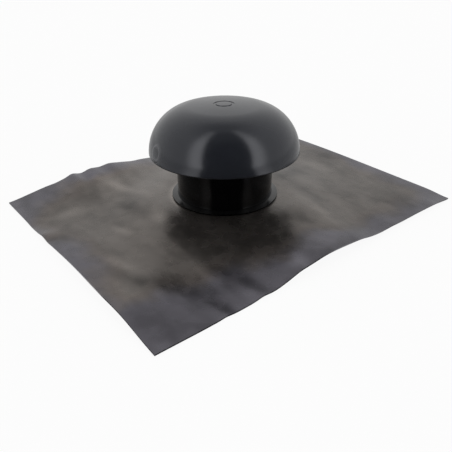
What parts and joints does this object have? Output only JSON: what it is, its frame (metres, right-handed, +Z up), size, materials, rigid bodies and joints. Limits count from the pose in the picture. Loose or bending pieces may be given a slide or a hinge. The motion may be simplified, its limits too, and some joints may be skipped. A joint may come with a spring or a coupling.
{
  "type": "roof vent cap",
  "caption": "Domed rain cap on a short black pipe sleeve, held by a retaining ring in a large soft lead flashing sheet that is dressed to the roof around a vent pipe.",
  "frame": {"origin": "on the sleeve's axis, in the plane of its foot, at the mouth of the pipe socket", "axes": "+Z up along the sleeve, +X along the long side of the flashing sheet, +Y along its short side"},
  "size_m": [0.5, 0.4, 0.1458],
  "materials": {
    "slate_plastic": "glossy slate grey moulded plastic",
    "black_plastic": "glossy black moulded plastic",
    "lead_sheet": "dull dark lead sheet with a bronze and violet bloom"
  },
  "bodies": {
    "root": {"cap": "slate_plastic", "sleeve": "black_plastic", "retaining_ring": "black_plastic", "flashing_sheet": "lead_sheet"}
  },
  "joints": []
}
